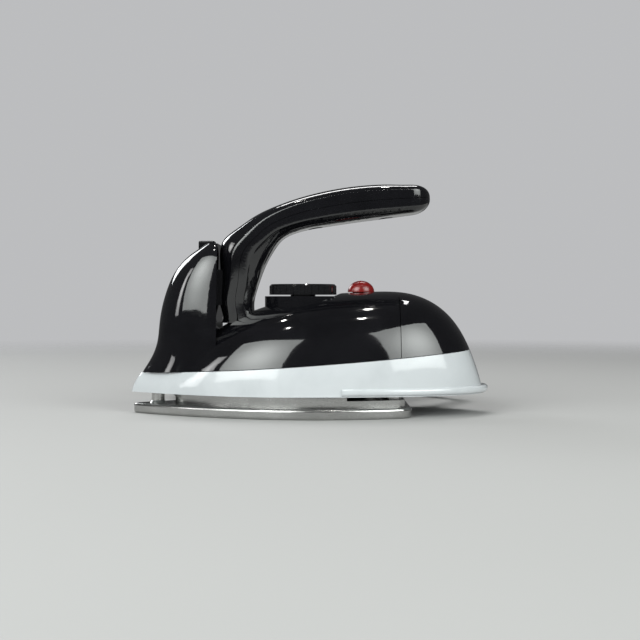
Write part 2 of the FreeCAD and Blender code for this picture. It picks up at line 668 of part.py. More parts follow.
def make_handle(outer):
    """The grip: an outer shell on top, an inner one under the fingers, and the screws that hold it."""
    half, wall = dim("tenon_half"), dim("tenon_wall")
    tenon = block(dim("cowl_rear") - dim("tenon_long"), -18.2, half, dim("tenon_low"), dim("tenon_top"))
    core = block(-FAR, -17.0, half - wall, dim("tenon_low") + wall, dim("tenon_top") - wall)
    foot_hole = cylinder(dim("foot_screw_x"), 0, 0, dim("foot_screw_top") + 0.5, dim("screw_rad") + RUN)
    upper = handle_shell(1).fuse(tenon.cut(core)).cut(outer).cut(foot_hole)
    lower = handle_shell(-1).cut(outer).cut(foot_hole)
    screws = []
    for x in (dim("grip_screw_front"), dim("grip_screw_rear")):
        middle = height_on_middle(x)
        seat = middle - dim("grip_screw_deep")
        tip = seat + dim("grip_screw_long") + 0.4
        upper = upper.cut(cylinder(x, 0, 60, tip, dim("screw_rad") + RUN))
        lower = lower.cut(cylinder(x, 0, 60, FAR, dim("screw_rad") + CLEAR))
        lower = lower.cut(cylinder(x, 0, 60, seat, dim("head_rad") + CLEAR))
        screws.append(upward_screw(x, seat - AIR, dim("grip_screw_long")))
    feature("handle_upper", largest(upper))
    feature("handle_lower", largest(lower))
    feature("handle_screws", Part.makeCompound(screws))
    long = dim("foot_screw_long")
    foot_screw = upward_screw(dim("foot_screw_x"), dim("foot_screw_top") - long, long)
    feature("foot_screw", Part.makeCompound([foot_screw]))


def upward_screw(x, head_top, length):
    """A pan-head screw on the middle plane that points up from under head_top."""
    made = screw(x, 0, 0.0, length)
    made.rotate(Vector(x, 0, 0), Vector(1, 0, 0), 180)
    made.translate(Vector(0, 0, head_top))
    return made


# ---------------------------------------------------------------- dial and lamp
def make_dial():
    """The temperature dial: a notched disc with a dished top, a finger bar and a hub with a D-shaped bore."""
    body = new_body("temperature_dial")
    profile = new_sketch(body, "dial_profile", "XZ_Plane")
    rim, top, dish = "dial_rad", "dial_top - dial_low", "dial_top - dial_low - dial_dish"
    add_polygon(profile, [("0", "0"), (rim, "0"), (rim, f"{top} - 0.8"), (f"{rim} - 0.8", top),
                          (f"{rim} - dial_rim", top), (f"{rim} - dial_rim - 1.0", dish), ("0", dish)])
    revolve(body, profile)
    hub = new_sketch(body, "dial_hub", offset="dial_hub_low - dial_low")
    add_circle(hub, "0", "0", "dial_hub_rad")
    pad(body, hub, "dial_low - dial_hub_low + 0.5")
    bar = new_sketch(body, "finger_bar", offset="dial_top - dial_low - dial_dish - 0.5")
    add_box(bar, "- dial_rad + dial_rim + 0.6", "dial_rad - dial_rim - 0.6", "- grip_bar / 2", "grip_bar / 2")
    pad(body, bar, "dial_dish + 0.5")
    notch = new_sketch(body, "rim_notch", offset="dial_top - dial_low")
    add_circle(notch, "dial_rad + dial_notch / 2", "0", "dial_notch")
    ring = polar(body, pocket(body, notch, "dial_top - dial_low"), 30)
    bore = new_sketch(body, "shaft_bore", offset="shaft_top - dial_low + 0.1")
    add_d_shape(bore, "shaft_rad + 0.05", "shaft_flat + 0.05")
    pocket(body, bore, "shaft_top - dial_hub_low + 1")
    mark = new_sketch(body, "index_groove", offset="dial_top - dial_low")
    add_box(mark, "- dial_rad + dial_rim + 1.0", "- 2.0", "- 0.7", "0.7")
    pocket(body, mark, "index_thick")
    stand_at(body, "dial_x", "0", "dial_low")
    index = new_body("dial_index")
    strip = new_sketch(index, "index_strip")
    add_box(strip, "- dial_rad + dial_rim + 1.02", "- 2.02", "- 0.68", "0.68")
    pad(index, strip, "index_thick - 0.02")
    stand_at(index, "dial_x", "0", "dial_top - index_thick + 0.01")


def add_d_shape(sketch, radius, flat):
    """A circle cut off by a flat on its +X side, as four formulas' worth of lines and one arc."""
    round_part = sketch.addGeometry(Part.ArcOfCircle(Part.Circle(Vector(0, 0, 0), Vector(0, 0, 1), 3.0),
                                                     math.radians(45), math.radians(315)))
    chord = sketch.addGeometry(Part.LineSegment(Vector(2.1, -2.1, 0), Vector(2.1, 2.1, 0)))
    sketch.addConstraint(Sketcher.Constraint("Coincident", round_part, 3, -1, 1))
    sketch.addConstraint(Sketcher.Constraint("Coincident", round_part, 2, chord, 1))
    sketch.addConstraint(Sketcher.Constraint("Coincident", chord, 2, round_part, 1))
    sketch.addConstraint(Sketcher.Constraint("Vertical", chord))
    hold(sketch, "Radius", (round_part,), radius)
    hold(sketch, "DistanceX", (-1, 1, chord, 1), flat)


def make_spindle():
    """The adjusting spindle: a D-shaped shaft above, a thread's core below and a small round tip."""
    body = new_body("adjusting_spindle")
    profile = new_sketch(body, "spindle_profile", "XZ_Plane")
    tip = "top_blade_z + blade_thick + 0.06"
    add_polygon(profile, [("0", tip), ("0.8", tip), ("spindle_rad", f"{tip} + 1.34"),
                          ("spindle_rad", "shaft_low"),
                          ("shaft_rad", "shaft_low + 1"), ("shaft_rad", "shaft_top - 0.5"),
                          ("shaft_rad - 0.5", "shaft_top"), ("0", "shaft_top")])
    revolve(body, profile)
    flat = new_sketch(body, "spindle_flat", offset="shaft_top")
    add_box(flat, "shaft_flat", "shaft_rad + 1", "- shaft_rad - 1", "shaft_rad + 1")
    pocket(body, flat, "shaft_top - dial_hub_low + 3")
    stand_at(body, "dial_x")


def make_lamp():
    """The lamp's red lens, the glow bulb under it and the sleeve that holds the bulb."""
    dome = doc.addObject("Part::Ellipsoid", "lens_dome")
    bind(dome, Radius1="lens_high", Radius2="lens_long", Radius3="lens_wide")
    dome.Angle1 = 0.0
    bind(dome, Placement__Base__x="lamp_x", Placement__Base__z="lens_base")
    stem = doc.addObject("Part::Cylinder", "lens_stem_round")
    bind(stem, Radius="lens_stem", Height="lens_base - lens_stem_low + 0.5")
    bind(stem, Placement__Base__x="lamp_x", Placement__Base__z="lens_stem_low")
    lens = doc.addObject("Part::MultiFuse", "lamp_lens")
    lens.Shapes = [dome, stem]
    lens.Label = "lamp_lens"
    sub_parts.append(lens)
    bulb = new_body("glow_bulb")
    profile = new_sketch(bulb, "bulb_profile", "XZ_Plane")
    add_polygon(profile, [("0", "bulb_low"), ("bulb_rad", "bulb_low"), ("bulb_rad", "bulb_top - 2"),
                          ("bulb_rad / 2", "bulb_top - 0.6"), ("0", "bulb_top")])
    revolve(bulb, profile)
    stand_at(bulb, "lamp_x")
    sleeve_low = "bulb_low + 1"
    disc("bulb_sleeve", "bulb_rad + 1.1", "sleeve_long", "lamp_x", "0", sleeve_low, hole="bulb_rad + 0.05")


# ---------------------------------------------------------------- thermostat
def blade(label, low, thick, x_low, x_high, half, holes=()):
    """A flat metal strip at the given level with round holes, each (X, radius)."""
    body = new_body(label)
    outline = new_sketch(body, label + "_plan", offset=low)
    add_box(outline, x_low, x_high, f"- {half}", half)
    for x, radius in holes:
        add_circle(outline, x, "0", radius)
    pad(body, outline, thick)
    return body


def make_thermostat():
    """A riveted stack of washers that clamps a bimetal strip, two contact blades and the spindle's yoke."""
    bore = "rivet_rad + 0.1"
    levels = [("stack_foot", "island_top + 0.02", "bimetal_low - 0.02"),
              ("lower_insulator", "bimetal_low + bimetal_thick + 0.02", "low_blade_z - 0.02"),
              ("middle_insulator", "low_blade_z + blade_thick + 0.02", "top_blade_z - 0.02"),
              ("upper_insulator", "top_blade_z + blade_thick + 0.02", "yoke_low - 0.02")]
    for label, low, high in levels:
        disc(label, "washer_rad", f"( {high} ) - ( {low} )", "stack_x", "0", low, hole=bore)
    root, edge = "stack_x - washer_rad - 0.1", "stack_x - washer_rad - 0.15"
    rivet_hole = ("stack_x", "rivet_rad + 0.4")
    bead_hole = ("bead_x", "bead_rad + 0.4")
    blade("bimetal_root", "bimetal_low", "bimetal_thick", root, "stack_x + 5", "blade_half", [rivet_hole])
    blade("bimetal_strip", "bimetal_low", "bimetal_thick", "blade_tip_x + 2", edge, "blade_half")
    blade("lower_blade", "low_blade_z", "blade_thick", "blade_tip_x", "tab_end_x", "tab_half",
          [rivet_hole, bead_hole])
    blade("upper_blade_root", "top_blade_z", "blade_thick", root, "tab_end_x", "tab_half", [rivet_hole])
    blade("upper_blade", "top_blade_z", "blade_thick", "blade_tip_x", edge, "tab_half")
    reach = "( top_blade_z - low_blade_z - blade_thick - contact_gap ) / 2 - 0.02"
    disc("lower_contact", "contact_rad", reach, "contact_x", "0", "low_blade_z + blade_thick + 0.01")
    disc("upper_contact", "contact_rad", reach, "contact_x", "0", f"top_blade_z - ( {reach} ) - 0.01")
    disc("push_bead", "bead_rad", "bead_top - bimetal_low - bimetal_thick - 0.01", "bead_x", "0",
         "bimetal_low + bimetal_thick + 0.01")
    blade("thermostat_yoke", "yoke_low", "yoke_thick", "dial_x - 6", "stack_x + 6", "yoke_half",
          [("dial_x", "spindle_rad + 0.05"), ("stack_x", bore)])
    disc("spindle_nut", "nut_rad", "nut_high", "dial_x", "0", "yoke_low + yoke_thick + 0.01",
         hole="spindle_rad + 0.05")
    rivet = new_body("stack_rivet")
    shank = new_sketch(rivet, "rivet_shank")
    add_circle(shank, "0", "0", "rivet_rad")
    reach = "yoke_low + yoke_thick - rivet_low + 0.02"
    pad(rivet, shank, reach)
    head = new_sketch(rivet, "rivet_top", offset=reach)
    add_circle(head, "0", "0", "rivet_head")
    pad(rivet, head, "rivet_head_high")
    stand_at(rivet, "stack_x", "0", "rivet_low")


# ---------------------------------------------------------------- heat shield, terminals and wiring
def make_shield():
    """A thin reflector sheet over the floor's window, open round the thermostat, heater ends and screws."""
    low, over = dim("floor_top") + AIR, dim("shield_over")
    sheet_plan = iron_outline(dim("island_nose") + dim("window_ahead") - over, dim("window_tail") + over,
                              dim("window_half") + over, dim("window_tail_half") + over + 0.5,
                              dim("sole_wide_x"), low)
    plate = sheet_plan.extrude(Vector(0, 0, dim("shield_thick")))
    plate = plate.cut(block(dim("blade_tip_x") - 5.0, dim("tab_end_x") + 2.0, 7.0, 0, FAR))
    for y in (dim("heater_leg"), -dim("heater_leg")):
        plate = plate.cut(cylinder(dim("heater_end_x"), y, 0, FAR, dim("heater_rad") + 0.8))
    for x, y in post_places():
        plate = plate.cut(cylinder(x, y, 0, FAR, dim("head_rad") + 0.6))
    feature("heat_shield", largest(plate))


def make_body_screws():
    level = dim("floor_top") + AIR
    screws = [screw(x, y, level, dim("body_screw_long")) for x, y in post_places()]
    feature("body_screws", Part.makeCompound(screws))


def make_terminals():
    """The terminal block, with three ways for wires and a slotted screw down to each."""
    body = new_body("terminal_block")
    plan = new_sketch(body, "block_plan")
    add_box(plan, "- block_long / 2", "block_long / 2", "- block_half", "block_half")
    pad(body, plan, "block_top - block_low")
    for index, y in enumerate(("- way_pitch", "0", "way_pitch")):
        well = new_sketch(body, f"screw_well_{index}", offset="block_top - block_low")
        add_circle(well, "0", y, "screw_rad + 0.5")
        pocket(body, well, "5")
        way = new_sketch(body, f"wire_way_{index}", "YZ_Plane", "- block_long")
        add_circle(way, y, "( block_top - block_low ) / 2", "wire_rad + 0.3")
        pocket(body, way, "block_long * 2", upwards=True)
    stand_at(body, "block_x", "0", "block_low")
    x, top = dim("block_x"), dim("block_top")
    screws = []
    for y in (-dim("way_pitch"), 0.0, dim("way_pitch")):
        shank = cylinder(x, y, top - 3.4, top - 0.8, dim("screw_rad") + 0.3)
        screws.append(shank.cut(block(x - 0.3, x + 0.3, 3.0, top - 1.4, FAR, y)))
    feature("terminal_screws", Part.makeCompound(screws))


def make_wires():
    """Insulated wires from the terminal block to the thermostat, the heater and the sole."""
    middle = (dim("block_low") + dim("block_top")) / 2
    inside = dim("block_x") - dim("block_long") / 2 + 2.0
    front = inside - 3.4
    way = dim("way_pitch")
    pin_x, pin_y, arch = dim("heater_end_x"), dim("heater_leg"), dim("pin_top") + 3.5
    tab, blade_z = dim("tab_end_x"), dim("top_blade_z") + dim("blade_thick")
    earth = dim("floor_top") + AIR + dim("head_high")
    wires = {
        "live_wire": [(front, 0, middle), (52, 0, middle + 3), (45, 0, blade_z + 2.2),
                      (tab - 2, 0, blade_z + 1.0)],
        "neutral_wire": [(front, -way, middle), (54, -9, middle + 4), (45, -13, arch),
                         (pin_x, -pin_y, arch), (pin_x - 4, -pin_y, arch - 2.5)],
        "earth_wire": [(front, way, middle), (56, 7, middle - 0.4), (51.5, 5.6, earth + 0.75),
                       (50.0, 3.0, earth + 0.05)],
    }
    for label, points in wires.items():
        way_y = points[0][1]
        feature(label, tube(points, dim("wire_rad"), first=(inside, way_y, middle)))


def make_fuse():
    """The thermal cut-off in its sleeve, with leads to the heater's pin and the lower contact blade."""
    x, y, z = dim("fuse_x"), dim("fuse_y"), dim("fuse_z")
    rad, long, cover = dim("fuse_rad"), dim("fuse_long"), dim("fuse_cover")
    ahead = Vector(1, 0, 0)
    sleeve = Part.makeCylinder(rad + cover, long + 6.0, Vector(x - 3.0, y, z), ahead)
    sleeve = sleeve.cut(Part.makeCylinder(rad + AIR, long + 8.0, Vector(x - 4.0, y, z), ahead))
    feature("thermal_fuse", Part.makeCylinder(rad, long, Vector(x, y, z), ahead))
    feature("fuse_sleeve", sleeve)
    lead, pin_x = dim("lead_rad"), dim("heater_end_x")
    rear = [(x + long + 0.2, y, z), (34, y, z), (39, y, z - 1.5), (pin_x, y, dim("pin_top") + 0.1)]
    contact_z = dim("low_blade_z") + dim("blade_thick")
    front = [(x - 0.2, y, z), (8, y, z - 1.5), (2.5, 9, 20), (2.5, 4.0, contact_z + 1.3),
             (4.5, 0.0, contact_z + 0.4), (dim("blade_tip_x") + 0.6, 0, contact_z + lead + 0.06)]
    feature("fuse_lead_rear", tube(rear, lead))
    feature("fuse_lead_front", tube(front, lead))


def make_boot():
    """The bend guard moulded round the cord where it leaves the skirt."""
    radius = dim("cord_rad")
    boot = exit_cylinder(-dim("wall") - 3.9, -dim("wall") - 2.7, dim("boot_flange"))
    boot = boot.fuse(exit_cylinder(-dim("wall") - 3.0, 1.0, dim("boot_rad")))
    boot = boot.fuse(Part.makeCone(dim("boot_rad") + 0.7, radius + 1.0, dim("boot_long"), exit_spot(0.8),
                                   exit_heading()))
    for k in range(4):
        ring = exit_cylinder(3.4 + 3.0 * k, 4.5 + 3.0 * k, dim("boot_rad") + 2)
        boot = boot.cut(ring.cut(exit_cylinder(2.0, 16.0, radius + 0.9)))
    feature("cord_boot", largest(boot.cut(exit_cylinder(-8.0, 20.0, radius + AIR))))


def coil_point(turn):
    """A place on the coiled cord, counted in turns from the coil's +X side."""
    angle = 2 * math.pi * turn
    across, along = math.cos(angle), math.sin(angle)
    rise = dim("coil_lift") + dim("cord_rad") + dim("coil_pitch") * (turn - dim("coil_start"))
    return (dim("coil_x") + dim("coil_rad") * across, dim("coil_y") + dim("coil_rad") * along, rise)


def make_cord():
    """The mains cord: from its clamp out of the skirt, down to the table, round a coil and into the plug."""
    x, y, ring = dim("coil_x"), dim("coil_y"), dim("coil_rad")
    points = [tuple(exit_spot(dim("boot_long") + 4.0))]
    points += [(x + ring + 23.5, y - 27.0, 11.5), (x + ring + 15.5, y - 10.0, 6.0)]
    steps = 16
    points += [coil_point(dim("coil_start") + k / steps) for k in range(int(dim("coil_turns") * steps) + 1)]
    left, plug_x, plug_y = x - ring, dim("plug_x"), dim("plug_y")
    plug_z = dim("plug_low") + dim("plug_high") / 2
    points += [(left - 1.0, y - 18.0, 29.0), (left - 7.0, y - 31.5, 20.0), (left - 14.5, y - 33.0, 13.0),
               (plug_x, plug_y - 11.0, plug_z)]
    plug_end = (plug_x, plug_y - 0.2, plug_z)
    feature("mains_cord", tube(points, dim("cord_rad"), first=exit_spot(-11.5), last=plug_end))


def make_cores():
    """The cord's three cores, fanned out over the terminal block and into its rear ways."""
    cores = []
    middle = (dim("block_low") + dim("block_top")) / 2
    rear = dim("block_x") + dim("block_long") / 2
    end = exit_spot(-12.3)
    for k in range(3):
        way = dim("way_pitch") * (1 - k)
        lift = dim("block_top") + 3.1 + 0.6 * k
        start = (end.x - 0.2, end.y - 0.4, end.z - 1.2 + 1.2 * k)
        over = [(end.x + 0.6, end.y - 3.2 - k, lift), (dim("block_x"), (way + end.y - 6) / 2, lift + 1.2)]
        down = [(rear + 4.2, way, lift - 2.4), (rear + 1.0, way, middle)]
        cores.append(tube([start] + over + down, dim("core_rad"), last=(rear - 1.0, way, middle)))
    feature("cord_cores", Part.makeCompound(cores))


def make_cord_tie():
    """The band that keeps the coil together, on the coil's far side."""
    x, y = dim("coil_x"), dim("coil_y") + dim("coil_rad")
    low = dim("coil_lift") - 0.3
    turns = int(dim("coil_turns"))
    high = coil_point(0.25 + turns)[2] + dim("cord_rad") + 0.5
    room = dim("cord_rad") + 0.45
    band = block(x - 3.5, x + 3.5, room + 1.0, low - 0.9, high + 1.0, y)
    band = band.makeFillet(1.2, [e for e in band.Edges if e.BoundBox.XLength > 1.0])
    feature("cord_tie", band.cut(block(x - 9, x + 9, room, low + 0.1, high, y)))


def make_plug():
    """A moulded plug lying on the table, with two flat prongs and a round earth pin."""
    x, y, low, half, long = dim("plug_x"), dim("plug_y"), dim("plug_low"), dim("plug_half"), dim("plug_long")
    face, root, back = y + long, dim("prong_root"), Vector(0, 1, 0)
    body = block(x - half, x + half, long / 2, low, low + dim("plug_high"), y + long / 2)
    body = body.makeFillet(5.0, [e for e in body.Edges if e.BoundBox.YLength > 1.0])
    body = body.makeFillet(2.0, [e for e in body.Edges if e.BoundBox.YLength < 0.01])
    middle = low + dim("plug_high") / 2
    body = body.fuse(Part.makeCone(dim("cord_rad") + 1.2, 7.5, 8.0, Vector(x, y - 7.0, middle), back))
    body = body.cut(Part.makeCylinder(dim("cord_rad") + AIR, 10.0, Vector(x, y - 9.9, middle), back))
    prongs = []
    for side in (-dim("blade_space") / 2, dim("blade_space") / 2):
        corner = Vector(x + side - dim("prong_thick") / 2, face - root, low + dim("prong_low"))
        prongs.append(Part.makeBox(dim("prong_thick"), dim("blade_long") + root, dim("prong_wide"), corner))
    start = Vector(x, face - root, low + dim("earth_z"))
    pin = Part.makeCylinder(dim("earth_rad"), dim("blade_long") + root + 2.0, start, back)
    prongs.append(pin.makeFillet(1.6, [e for e in pin.Edges if e.BoundBox.YMin > face + dim("blade_long")]))
    for prong in prongs:
        body = body.cut(prong)
    feature("plug_body", largest(body))
    feature("plug_blades", Part.makeCompound(prongs))


def make_cord_clamp():
    """A saddle on the heel's floor that grips the cord, with its two screws."""
    half, reach, axis = dim("saddle_half"), dim("saddle_reach"), dim("exit_z")
    low, top = dim("floor_top") + AIR, axis + dim("cord_rad") + dim("saddle_cover")
    saddle = block(-half, half, reach, axis - 1.0, top)
    posts = block(-half, half, reach, low, axis - 1.0 - AIR)
    hollow = Part.makeCylinder(dim("cord_rad") + AIR, 20.0, Vector(-10, 0, axis), Vector(1, 0, 0))
    screws = []
    for side in (-dim("saddle_screw"), dim("saddle_screw")):
        saddle = saddle.cut(cylinder(0, side, 0, FAR, dim("screw_rad") + CLEAR))
        posts = posts.cut(cylinder(0, side, 0, FAR, dim("screw_rad") + RUN))
        screws.append(screw(0, side, top + AIR, dim("body_screw_long")))
    middle = exit_spot(-8.6)
    turned = FreeCAD.Rotation(Vector(0, 0, 1), dim("exit_turn"))
    place = FreeCAD.Placement(Vector(middle.x, middle.y, 0), turned)
    for label, shape in (("cord_clamp", saddle.cut(hollow)), ("clamp_base", posts.cut(hollow)),
                         ("clamp_screws", Part.makeCompound(screws))):
        feature(label, shape).Placement = place


make_soleplate()
make_heater()
make_dial()
make_spindle()
make_lamp()
make_thermostat()
make_shield()
make_body_screws()
make_terminals()
make_wires()
make_fuse()
make_boot()
make_cord()
make_cores()
make_cord_tie()
make_plug()
make_cord_clamp()
outer_form = envelope()
inner_form = inner_envelope(outer_form)
make_skirt(outer_form, inner_form)
make_housing(outer_form, inner_form)
make_cowl()
make_handle(outer_form)

# ---------------------------------------------------------------- checks and files
doc.recompute()
for member in doc.Objects:
    if {"Invalid", "Error"} & set(member.State):
        raise RuntimeError(f"{member.Label} is in state {member.State}")
for part in sub_parts:
    if part.Shape.isNull() or not part.Shape.isValid():
        raise RuntimeError(f"{part.Label} has no valid shape")
os.makedirs("parts", exist_ok=True)
for part in sub_parts:
    part.Shape.exportStep(f"parts/{part.Label}.step")
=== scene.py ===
"""Looks of a small waxing iron: materials, fine detail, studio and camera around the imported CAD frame."""
import math
import bmesh
import bpy
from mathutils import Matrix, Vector

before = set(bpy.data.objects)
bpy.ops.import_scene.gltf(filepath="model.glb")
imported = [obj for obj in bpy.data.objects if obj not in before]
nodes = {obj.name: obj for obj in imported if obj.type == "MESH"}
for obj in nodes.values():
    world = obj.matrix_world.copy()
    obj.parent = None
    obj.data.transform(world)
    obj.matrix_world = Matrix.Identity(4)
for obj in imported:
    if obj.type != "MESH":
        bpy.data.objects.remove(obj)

MM = 0.001                       # the scene is in metres
SHARP_EDGE = math.radians(34)    # edges bent by more than this stay crisp
WORN_EDGE = 0.25                 # width of the bright worn band along metal edges, in millimetres
FINE_COAT = 0.025                # roughness of a polished moulding's top layer
DUST_GREY = (0.55, 0.55, 0.53)
MIDDLE = Vector((0.01, 0.0, 0.035))   # the body's middle, where the lights aim
CAMERA_PLACE = (0.0198, -0.480, 0.045)
CAMERA_DIP = math.radians(0.955)      # how far the camera looks down
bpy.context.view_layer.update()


# ---------------------------------------------------------------- material tools
class Graph:
    """A material's node tree, with short calls for the nodes this scene uses."""

    def __init__(self, name):
        self.material = bpy.data.materials.new(name)
        self.material.use_nodes = True
        self.tree = self.material.node_tree
        self.tree.nodes.clear()
        self.output = self.tree.nodes.new("ShaderNodeOutputMaterial")
        self.shader = self.tree.nodes.new("ShaderNodeBsdfPrincipled")
        self.link(self.shader.outputs["BSDF"], self.output.inputs["Surface"])
        self.place = self.tree.nodes.new("ShaderNodeTexCoord").outputs["Object"]
        self.height = None

    def link(self, source, target):
        self.tree.links.new(source, target)

    def put(self, socket, value):
        if isinstance(value, bpy.types.NodeSocket):
            self.link(value, socket)
        else:
            socket.default_value = value

    def set(self, **inputs):
        """Sets the main shader's inputs; two words are joined by an underscore."""
        for name, value in inputs.items():
            socket = self.shader.inputs[name.replace("_", " ")]
            if isinstance(value, tuple) and len(value) == 3 and socket.type == "RGBA":
                value = (*value, 1.0)
            self.put(socket, value)

    def math(self, operation, first, second):
        node = self.tree.nodes.new("ShaderNodeMath")
        node.operation = operation
        self.put(node.inputs[0], first)
        self.put(node.inputs[1], second)
        return node.outputs[0]

    def stretch(self, scale, turn=(0, 0, 0)):
        """Object coordinates, scaled by axis and turned."""
        node = self.tree.nodes.new("ShaderNodeMapping")
        node.inputs["Scale"].default_value = scale
        node.inputs["Rotation"].default_value = turn
        self.link(self.place, node.inputs["Vector"])
        return node.outputs[0]

    def noise(self, scale, detail=3.0, rough=0.5, place=None, warp=0.0):
        node = self.tree.nodes.new("ShaderNodeTexNoise")
        self.link(place or self.place, node.inputs["Vector"])
        node.inputs["Scale"].default_value = scale
        node.inputs["Detail"].default_value = detail
        node.inputs["Roughness"].default_value = rough
        node.inputs["Distortion"].default_value = warp
        return node.outputs["Fac"]

    def cells(self, scale):
        node = self.tree.nodes.new("ShaderNodeTexVoronoi")
        self.link(self.place, node.inputs["Vector"])
        node.inputs["Scale"].default_value = scale
        return node.outputs["Distance"]

    def band(self, value, low, high, to_low=0.0, to_high=1.0):
        """Remaps value smoothly from low..high to to_low..to_high."""
        node = self.tree.nodes.new("ShaderNodeMapRange")
        node.interpolation_type = "SMOOTHSTEP"
        ends = {"From Min": low, "From Max": high, "To Min": to_low, "To Max": to_high}
        for name, number in ends.items():
            node.inputs[name].default_value = number
        self.put(node.inputs["Value"], value)
        return node.outputs["Result"]

    def mix(self, share, first, second):
        """A blend of two colours, each three numbers or a socket."""
        node = self.tree.nodes.new("ShaderNodeMix")
        node.data_type = "RGBA"
        self.put(node.inputs["Factor"], share)
        for socket, colour in ((node.inputs["A"], first), (node.inputs["B"], second)):
            self.put(socket, (*colour, 1.0) if isinstance(colour, tuple) else colour)
        return node.outputs["Result"]

    def bump(self, height, distance):
        """Adds a bump layer; distance is in millimetres."""
        node = self.tree.nodes.new("ShaderNodeBump")
        node.inputs["Distance"].default_value = distance * MM
        self.put(node.inputs["Height"], height)
        if self.height is not None:
            self.link(self.height, node.inputs["Normal"])
        self.height = node.outputs["Normal"]
        self.link(self.height, self.shader.inputs["Normal"])

    def edge_wear(self, radius):
        """1 near sharp edges, 0 on open surfaces."""
        node = self.tree.nodes.new("ShaderNodeBevel")
        node.samples = 4
        node.inputs["Radius"].default_value = radius * MM
        geometry = self.tree.nodes.new("ShaderNodeNewGeometry")
        dot = self.tree.nodes.new("ShaderNodeVectorMath")
        dot.operation = "DOT_PRODUCT"
        self.link(node.outputs[0], dot.inputs[0])
        self.link(geometry.outputs["Normal"], dot.inputs[1])
        return self.band(dot.outputs["Value"], 0.99, 0.8)


def gloss_plastic(name, dark, light, rough, dust):
    """A polished moulding: faint flow marks, dust specks, hair scratches and a slightly uneven surface."""
    g = Graph(name)
    flow = g.noise(45.0, 4.0, 0.6, warp=0.6)
    specks = g.band(g.cells(900.0), 0.09, 0.03)
    patches = g.band(g.noise(160.0, 2.0), 0.52, 0.7)
    specks = g.math("MULTIPLY", specks, patches)
    hairs = g.band(g.noise(220.0, 6.0, 0.7, place=g.stretch((1.0, 9.0, 9.0), (0.3, 0.2, 0.5))), 0.66, 0.74)
    colour = g.mix(g.band(flow, 0.3, 0.7), dark, light)
    colour = g.mix(g.math("MULTIPLY", specks, dust), colour, DUST_GREY)
    g.set(Base_Color=colour, IOR=1.5, Coat_Weight=0.75, Coat_Roughness=FINE_COAT)
    base = g.band(flow, 0.25, 0.75, rough * 0.8, rough * 1.3)
    g.set(Roughness=g.math("ADD", base, g.math("MULTIPLY", hairs, 0.1)))
    g.bump(g.noise(320.0, 2.0), 0.012)
    g.bump(hairs, -0.004)
    return g.material


def metal(name, dark, light, rough, grain=(1.0, 1.0, 1.0), grain_scale=300.0, depth=0.02):
    """A bare metal with grain stretched along one axis, stains and brighter worn edges."""
    g = Graph(name)
    lines = g.noise(grain_scale, 6.0, 0.65, place=g.stretch(grain))
    stain = g.noise(60.0, 4.0, 0.6, warp=0.8)
    colour = g.mix(g.band(stain, 0.3, 0.7), dark, light)
    worn = tuple(min(1.0, channel * 1.25) for channel in light)
    colour = g.mix(g.math("MULTIPLY", g.edge_wear(WORN_EDGE), 0.5), colour, worn)
    grain_rough = g.band(lines, 0.3, 0.7, rough * 0.75, rough * 1.25)
    g.set(Base_Color=colour, Metallic=1.0)
    g.set(Roughness=g.math("ADD", grain_rough, g.math("MULTIPLY", stain, 0.06)))
    g.bump(lines, depth)
    return g.material


def matte(name, dark, light, rough, scale=500.0, depth=0.03):
    """A moulded or woven dull surface with fine grain."""
    g = Graph(name)
    grain = g.noise(scale, 4.0, 0.7)
    tone = g.noise(70.0, 3.0)
    g.set(Base_Color=g.mix(g.band(tone, 0.3, 0.7), dark, light))
    g.set(Roughness=g.band(grain, 0.3, 0.7, rough * 0.85, rough * 1.1))
    g.bump(grain, depth)
    return g.material


def clear(name, tint, rough, deep, pass_share):
    """Clear or tinted glassy plastic; pass_share is how much light goes through it."""
    g = Graph(name)
    cloud = g.noise(400.0, 2.0)
    g.set(Base_Color=g.mix(g.band(cloud, 0.3, 0.7), tint, deep))
    g.set(Roughness=g.band(cloud, 0.2, 0.8, rough, rough * 2.5))
    g.set(Transmission_Weight=pass_share, IOR=1.49, Coat_Weight=0.4, Coat_Roughness=0.06)
    g.bump(cloud, 0.006)
    return g.material


def dress(material, *names):
    for name in names:
        slots = nodes[name].data.materials
        slots.clear()
        slots.append(material)


# ---------------------------------------------------------------- mouldings
dress(gloss_plastic("gloss_black", (0.003, 0.003, 0.004), (0.006, 0.006, 0.0075), 0.06, 0.08),
      "front_housing", "rear_cover", "nose_cowl", "handle_upper", "handle_lower")
dress(gloss_plastic("dial_black", (0.005, 0.005, 0.006), (0.010, 0.010, 0.011), 0.09, 0.12),
      "temperature_dial")
dress(gloss_plastic("skirt_white", (0.58, 0.61, 0.63), (0.64, 0.67, 0.69), 0.12, 0.12), "skirt")
dress(clear("lens_red", (0.30, 0.014, 0.011), 0.14, (0.20, 0.008, 0.008), 0.25), "lamp_lens")
dress(clear("bulb_glass", (0.95, 0.9, 0.85), 0.03, (0.9, 0.82, 0.75), 0.75), "glow_bulb")
dress(matte("index_paint", (0.78, 0.78, 0.76), (0.85, 0.85, 0.83), 0.4), "dial_index")

